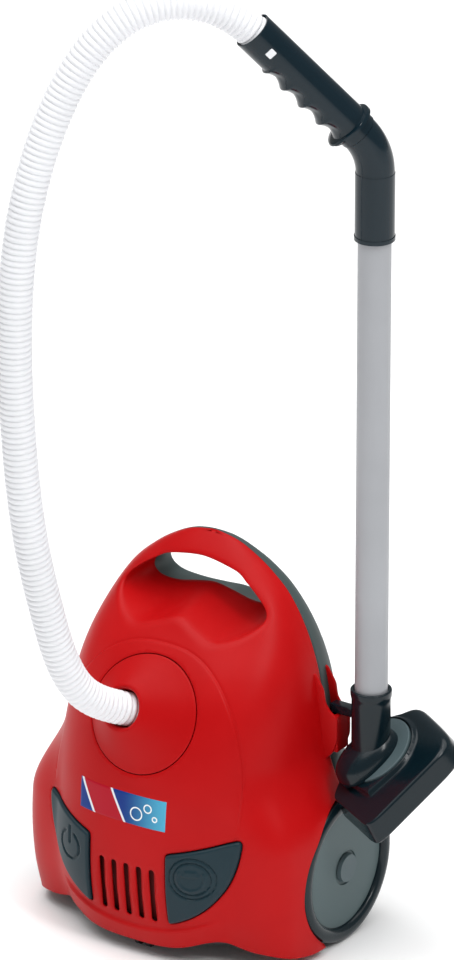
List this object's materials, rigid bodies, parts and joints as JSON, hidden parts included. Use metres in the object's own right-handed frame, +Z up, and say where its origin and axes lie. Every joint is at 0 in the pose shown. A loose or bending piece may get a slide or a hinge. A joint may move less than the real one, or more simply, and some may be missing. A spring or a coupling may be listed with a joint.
{
  "type": "toy vacuum cleaner",
  "caption": "Toy canister vacuum cleaner with an egg-shaped body on wheels, a carrying handle, foot buttons, a ribbed hose and a wand with a swivelling floor nozzle.",
  "frame": {"origin": "on the floor, under the middle of the wheel axle", "axes": "+Z up, front of the body towards -Y, wand on the +X side"},
  "size_m": [0.3248, 0.2534, 0.751],
  "materials": {
    "red_shell": "satin moulded plastic",
    "red_trim": "satin moulded plastic",
    "grey_shell": "satin moulded plastic",
    "dark_button": "satin moulded plastic",
    "dark_nozzle": "satin moulded plastic",
    "dark_grip": "glossy moulded plastic",
    "wheel_grey": "satin moulded plastic",
    "pan_grey": "matt moulded plastic",
    "tube_grey": "silver-grey plastic tube",
    "hose_white": "white flexible plastic",
    "label_print": "printed film",
    "steel": "bright steel",
    "switch_black": "matt plastic",
    "motor_can": "plated steel can",
    "fan_white": "natural plastic",
    "cell_wrap": "printed sleeve",
    "contact": "nickel-plated steel"
  },
  "bodies": {
    "body": {"front_shell": "red_shell", "rear_shell": "grey_shell", "base_pan": "pan_grey", "hose_port": "red_trim", "front_label": "label_print", "park_bracket": "red_trim", "shell_screws": "steel", "axle": "steel", "axle_bushes": "pan_grey", "axle_caps": "wheel_grey", "button_carrier": "pan_grey", "power_switch": "switch_black", "motor": "motor_can", "motor_bracket": "pan_grey", "battery_box": "pan_grey", "battery_cells": "cell_wrap", "battery_contacts": "contact", "battery_door": "pan_grey", "battery_door_screw": "steel", "power_button_spring": "steel", "cord_button_spring": "steel", "hose": "hose_white"},
    "wheel_left": {"wheel_left": "wheel_grey"},
    "wheel_right": {"wheel_right": "wheel_grey"},
    "caster": {"caster_fork": "pan_grey"},
    "caster_wheel": {"caster_wheels": "wheel_grey", "caster_pin": "steel"},
    "power_button": {"power_button": "dark_button"},
    "cord_button": {"cord_button": "dark_button"},
    "fan": {"fan": "fan_white", "motor_shaft": "steel"},
    "wand": {"nozzle_neck": "dark_nozzle", "wand_tube": "tube_grey", "wand_elbow": "dark_grip", "hand_grip": "dark_grip", "hose_sleeve": "hose_white", "turntable_ring": "pan_grey"},
    "nozzle": {"nozzle_head": "dark_nozzle", "nozzle_sole": "pan_grey", "sole_screws": "steel"}
  },
  "joints": [
    {"name": "wheel_left_roll", "type": "hinge", "parent": "body", "child": "wheel_left", "pos_m": [-0.104, 0, 0.057], "axis": [1, 0, 0], "continuous": true},
    {"name": "wheel_right_roll", "type": "hinge", "parent": "body", "child": "wheel_right", "pos_m": [0.104, 0, 0.057], "axis": [1, 0, 0], "continuous": true},
    {"name": "caster_swivel", "type": "hinge", "parent": "body", "child": "caster", "pos_m": [0, -0.078, 0.02], "axis": [0, 0, 1], "continuous": true},
    {"name": "caster_roll", "type": "hinge", "parent": "caster", "child": "caster_wheel", "pos_m": [0, -0.09, 0.0065], "axis": [1, 0, 0], "continuous": true},
    {"name": "power_press", "type": "slide", "parent": "body", "child": "power_button", "axis": [0, 1, 0], "range_m": [0, 0.003], "stiffness_N_per_m": 900, "springref_m": -0.002, "deforming": ["power_button_spring"]},
    {"name": "cord_press", "type": "slide", "parent": "body", "child": "cord_button", "axis": [0, 1, 0], "range_m": [0, 0.003], "stiffness_N_per_m": 900, "springref_m": -0.002, "deforming": ["cord_button_spring"]},
    {"name": "fan_spin", "type": "hinge", "parent": "body", "child": "fan", "pos_m": [0, -0.09, 0.057], "axis": [0, 1, 0], "continuous": true},
    {"name": "wand_lift", "type": "slide", "parent": "body", "child": "wand", "axis": [0, 0, 1], "range_m": [0, 0.06], "deforming": ["hose"]},
    {"name": "nozzle_turn", "type": "hinge", "parent": "wand", "child": "nozzle", "pos_m": [0.13643, 0.00597, 0.15525], "axis": [-0.3288, -0.5366, 0.7771], "range_deg": [-3, 20]}
  ]
}
